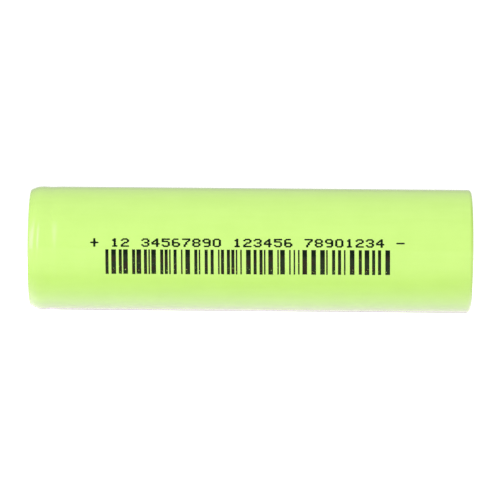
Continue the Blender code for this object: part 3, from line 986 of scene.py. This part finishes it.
# %% Finishes for the pieces inside
INSIDE = {
    "crimp_gasket": milky,
    "ptc_ring": polymer,
    "vent_disc": aluminium,
    "vent_diaphragm": aluminium,
    "interrupter_ring": white_plastic,
    "interrupter_plate": aluminium,
    "upper_insulator": film,
    "lower_insulator": film,
    "centre_pin": pin_steel,
    "cathode_strip": oxide,
    "anode_strip": graphite,
    "separator_inner": separator,
    "separator_outer": separator,
    "roll_closing_tape": green_tape,
    "positive_tab": aluminium,
    "positive_tab_tape": amber_tape,
    "negative_tab": tab_nickel,
    "negative_tab_tape": amber_tape,
}
for name, material in INSIDE.items():
    nodes[name].data.materials.clear()
    nodes[name].data.materials.append(material)
print("dressed", len(INSIDE), "pieces inside the can")

# %% [markdown]
# ## The table
#
# The cell lies on a white table that glows a little, as acrylic lit from below does, so the
# underside of the film picks up white. Close under the cell the glow is dimmer: a painted shadow.


# %% Floor
def pale_floor():
    made, net, place = finish("white_acrylic", Roughness=0.5, Emission_Strength=1.0)
    cloud = net.noise(place, 2.0, 2)
    feed(net, "Base Color", net.mix(cloud, rgb(0.79, 0.79, 0.79), rgb(0.81, 0.81, 0.81)))
    x, y, _ = net.split(place)
    # painted shadow: the glow that lights the cell is dimmer within about 20 mm of the cell's line
    outside_painted_shadow = net.smooth(net.maths("ABSOLUTE", y), 3 * MM, 20 * MM)
    glow = net.mix(outside_painted_shadow, rgb(0.12, 0.10, 0.12), rgb(0.41, 0.37, 0.39))
    seen = net.node("ShaderNodeLightPath").part("Is Camera Ray")
    feed(net, "Emission Color", net.mix(seen, glow, rgb(0.92, 0.92, 0.92)))
    return made


FLOOR_SIZE = 8.0
shape = bmesh.new()
bmesh.ops.create_grid(shape, x_segments=1, y_segments=1, size=FLOOR_SIZE / 2)
floor_mesh = bpy.data.meshes.new("floor")
shape.to_mesh(floor_mesh)
shape.free()
floor_mesh.materials.append(pale_floor())
floor = bpy.data.objects.new("floor", floor_mesh)
bpy.context.scene.collection.objects.link(floor)
floor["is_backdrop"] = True
print("floor", FLOOR_SIZE, "m wide")

# %% [markdown]
# ## The room
#
# A glossy cylinder shows the room as bands along its length, so an even white world makes it look
# flat. This one is white in front, greyer above and behind, darkest halfway up the back wall, which
# draws the edge along the top of the cell, and darker to the right.

# %% Room
FRONT_LIGHT = 1.01
BACK_DIM = 0.33
RIGHT_DIM = 0.45

world = bpy.data.worlds.new("room")
world.use_nodes = True
bpy.context.scene.world = world
net = Net(world.node_tree)
side, back, up = net.split(net.node("ShaderNodeTexCoord").part("Generated"))
overhead = net.smooth(up, 0.10, 0.36) * net.smooth(back, -0.35, 0.45)
high_wall = net.smooth(up, 0.2, 0.4) * net.smooth(up, 0.75, 0.5)
ceiling = net.smooth(up, 0.7, 0.95)
overhead = overhead * (1 + 0.45 * high_wall - 0.4 * ceiling)
to_right = net.smooth(side, 0.45, 0.95)
level = FRONT_LIGHT - BACK_DIM * overhead - RIGHT_DIM * to_right
seen = net.node("ShaderNodeLightPath").part("Is Camera Ray")
strength = net.maths("MAXIMUM", level, seen * 1.1)
glow = net.node("ShaderNodeBackground", sockets={"Color": rgb(1, 1, 1), "Strength": strength})
net.node("ShaderNodeOutputWorld", sockets={"Surface": glow})
print("room of radiance", FRONT_LIGHT)

# %% [markdown]
# ## Soft boxes
#
# Two tall strips on the left draw thin upright lines of light on the shoulder and in the dip over
# the bead. A panel on the table, hidden under the cell, shines up on the film's underside, which
# would mirror a flat grey from the table alone. All fade towards their sides, because a hard edge
# would show on the film.


# %% Soft boxes
AIM = Vector((0, 0, AXIS_HEIGHT))
COOL_WHITE = Vector((0.70, 0.86, 1.08))
PEARL_WHITE = Vector((0.96, 0.72, 1.10))


def soft_box(name, location, facing, width, height, colour, side_core=0.0, end_core=0.0, dip=0.0):
    """A rectangular light that fades towards its four sides, and may dip along its middle."""
    data = bpy.data.lights.new(name, "AREA")
    data.shape = "RECTANGLE"
    data.size = width
    data.size_y = height
    data.energy = math.pi * width * height
    data.use_nodes = True
    net = Net(data.node_tree)
    across, along, _ = net.split(net.node("ShaderNodeNewGeometry").part("Parametric"))
    aside = net.maths("ABSOLUTE", across * 2 - 1)
    side_fade = net.smooth(aside, 1, side_core) * (1 - dip * net.smooth(aside, 0.5, 0.15))
    end_fade = net.smooth(net.maths("ABSOLUTE", along * 2 - 1), 1, end_core)
    lit = {"Color": rgb(*colour), "Strength": side_fade * end_fade}
    lamp_glow = net.node("ShaderNodeEmission", sockets=lit)
    net.node("ShaderNodeOutputLight", sockets={"Surface": lamp_glow})
    lamp = bpy.data.objects.new(name, data)
    lamp.location = location
    lamp.rotation_mode = "QUATERNION"
    lamp.rotation_quaternion = facing
    lamp.visible_camera = False
    bpy.context.scene.collection.objects.link(lamp)
    return lamp


def strip_light(name, azimuth, rise, width, height, colour, distance=0.5):
    """A tall soft strip. Azimuth 0 is at the camera and -90 at the positive end."""
    turn, lift = math.radians(azimuth), math.radians(rise)
    away = Vector((math.sin(turn) * math.cos(lift), -math.cos(turn) * math.cos(lift), math.sin(lift)))
    facing = away.to_track_quat("Z", "Y")
    return soft_box(name, AIM + away * distance, facing, width, height, colour)


strip_light("front_strip", -18, 16, width=0.12, height=0.80, colour=COOL_WHITE * 2.3)
strip_light("left_strip", -50, 16, width=0.25, height=0.80, colour=COOL_WHITE * 2.1)
print("two strips on the left")

# %% The panel under the cell
PANEL_LIFT = 0.05 * MM
PANEL_WIDTH = 21 * MM
PANEL_LENGTH = 80 * MM
upwards = Matrix.Rotation(math.pi, 3, "X") @ Matrix.Rotation(math.pi / 2, 3, "Z")
panel = soft_box(
    "panel",
    (0, 0, PANEL_LIFT),
    upwards.to_quaternion(),
    PANEL_WIDTH,
    PANEL_LENGTH,
    PEARL_WHITE * 1.6,
    side_core=0.1,
    end_core=0.8,
    dip=0.4,
)
panel.visible_diffuse = False
print(f"panel {PANEL_WIDTH / MM:.0f} mm by {PANEL_LENGTH / MM:.0f} mm")

# %% [markdown]
# ## The camera
#
# A small thing seen from close by looks swollen in the middle. From over half a metre away, through
# a long lens, its ends hardly spread. The camera is at the height of the axis and a little to the
# right, looks level, and is turned by half a degree about its own line of sight.

# %% Camera
CAMERA_DISTANCE = 0.655
CAMERA_ASIDE = 3.2 * MM
LENS = 319.5
SENSOR = 36.0
ROLL = 0.48

camera_data = bpy.data.cameras.new("camera")
camera_data.lens = LENS
camera_data.sensor_width = SENSOR
camera_data.clip_start = 0.01
camera_data.clip_end = 20
camera = bpy.data.objects.new("camera", camera_data)
camera.location = (CAMERA_ASIDE, -CAMERA_DISTANCE, AXIS_HEIGHT - 0.07 * MM)
camera.rotation_mode = "QUATERNION"
turn = Matrix.Rotation(math.atan2(CAMERA_ASIDE, CAMERA_DISTANCE), 3, "Z")
level_view = turn @ Matrix.Rotation(math.radians(90), 3, "X")
camera.rotation_quaternion = (level_view @ Matrix.Rotation(math.radians(ROLL), 3, "Z")).to_quaternion()
bpy.context.scene.collection.objects.link(camera)
bpy.context.scene.camera = camera
bpy.context.scene.view_settings.view_transform = "Standard"
print("camera", CAMERA_DISTANCE, "m away")

# %% [markdown]
# ## Compare and finish
#
# The finer pieces are meant to keep to the imported model's box, so both boxes are printed next to
# each other.

# %% Compare the two boxes, and finish
visual_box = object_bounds()
for corner, other in zip(cad_box, visual_box):
    print("cad", [round(v / MM, 3) for v in corner], "visual", [round(v / MM, 3) for v in other])
